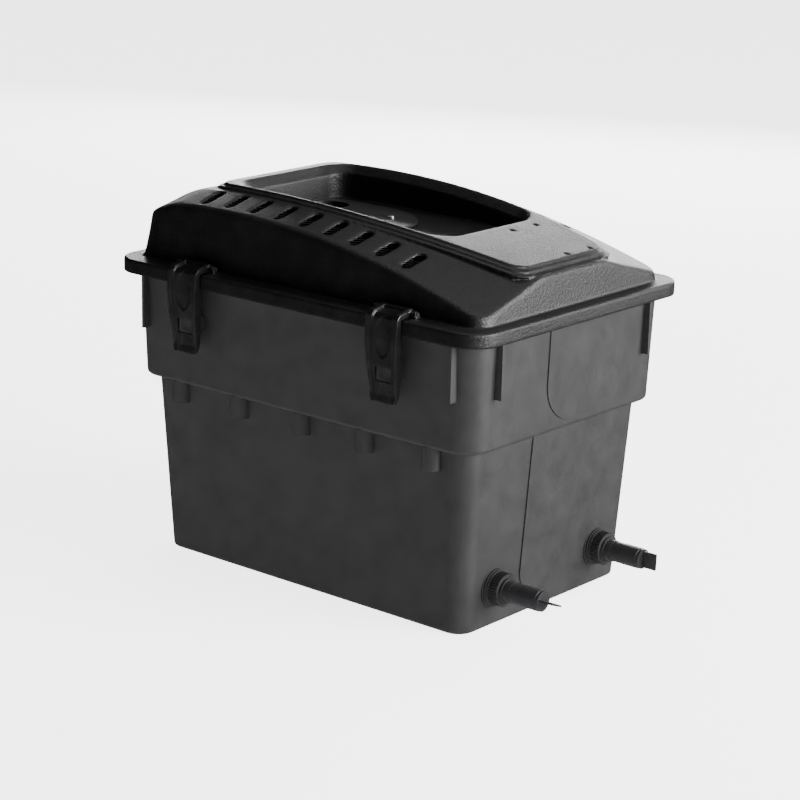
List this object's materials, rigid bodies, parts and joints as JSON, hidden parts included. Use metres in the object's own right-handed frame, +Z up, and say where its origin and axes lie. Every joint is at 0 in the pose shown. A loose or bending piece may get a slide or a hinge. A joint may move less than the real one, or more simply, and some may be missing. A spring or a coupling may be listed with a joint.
{
  "type": "pond filter box",
  "caption": "Drafted pond filter box with a vented, arched lid held by swinging clips, plugged hose tails and foam media inside.",
  "frame": {"origin": "centre of the tank's base at floor level, under the middle of the lid's rim", "axes": "+X along the tank towards the hose tails, +Z up, -Y the front"},
  "size_m": [0.605, 0.419, 0.456],
  "materials": {
    "lid_black_plastic": "satin",
    "tank_grey_plastic": "satin",
    "clip_plastic": "satin",
    "fitting_plastic": "satin",
    "inlet_cover_plastic": "satin",
    "inner_plastic": "matt",
    "seal_rubber": "matt",
    "pin_steel": "brushed",
    "coarse_foam": "open-cell foam",
    "fine_foam": "open-cell foam",
    "block_foam": "open-cell foam"
  },
  "bodies": {
    "tank_body": {"tank": "tank_grey_plastic", "media_tray": "inner_plastic", "coarse_foam_mat": "coarse_foam", "fine_foam_mat": "fine_foam", "base_grid": "inner_plastic", "foam_block_1": "block_foam", "foam_block_2": "block_foam", "foam_block_3": "block_foam", "foam_block_4": "block_foam", "front_hose_tail": "fitting_plastic", "front_inner_gasket": "seal_rubber", "front_outer_gasket": "seal_rubber", "front_washer": "fitting_plastic", "front_lock_nut": "fitting_plastic", "front_strainer": "inner_plastic", "back_hose_tail": "fitting_plastic", "back_inner_gasket": "seal_rubber", "back_outer_gasket": "seal_rubber", "back_washer": "fitting_plastic", "back_lock_nut": "fitting_plastic", "back_strainer": "inner_plastic"},
    "lid_body": {"lid": "lid_black_plastic", "lid_seal": "seal_rubber", "clip_hinge_pins": "pin_steel", "inlet_cover_gasket": "seal_rubber", "inlet_cover": "inlet_cover_plastic", "inlet_cover_screws": "pin_steel"},
    "front_left_clip_body": {"front_left_clip": "clip_plastic"},
    "front_right_clip_body": {"front_right_clip": "clip_plastic"},
    "back_left_clip_body": {"back_left_clip": "clip_plastic"},
    "back_right_clip_body": {"back_right_clip": "clip_plastic"},
    "front_plug_body": {"front_plug": "fitting_plastic", "front_plug_ring": "seal_rubber"},
    "back_plug_body": {"back_plug": "fitting_plastic", "back_plug_ring": "seal_rubber"}
  },
  "joints": [
    {"name": "lid_lift", "type": "slide", "parent": "tank_body", "child": "lid_body", "axis": [0, 0, 1], "range_m": [0, 0.15]},
    {"name": "front_left_clip_hinge", "type": "hinge", "parent": "lid_body", "child": "front_left_clip_body", "pos_m": [-0.153, -0.182, 0.372], "axis": [-1, 0, 0], "range_deg": [0, 100]},
    {"name": "front_right_clip_hinge", "type": "hinge", "parent": "lid_body", "child": "front_right_clip_body", "pos_m": [0.153, -0.182, 0.372], "axis": [-1, 0, 0], "range_deg": [0, 100]},
    {"name": "back_left_clip_hinge", "type": "hinge", "parent": "lid_body", "child": "back_left_clip_body", "pos_m": [-0.153, 0.182, 0.372], "axis": [1, 0, 0], "range_deg": [0, 100]},
    {"name": "back_right_clip_hinge", "type": "hinge", "parent": "lid_body", "child": "back_right_clip_body", "pos_m": [0.153, 0.182, 0.372], "axis": [1, 0, 0], "range_deg": [0, 100]},
    {"name": "front_plug_pull", "type": "slide", "parent": "tank_body", "child": "front_plug_body", "axis": [1, 0, 0], "range_m": [0, 0.04]},
    {"name": "back_plug_pull", "type": "slide", "parent": "tank_body", "child": "back_plug_body", "axis": [1, 0, 0], "range_m": [0, 0.04]}
  ]
}
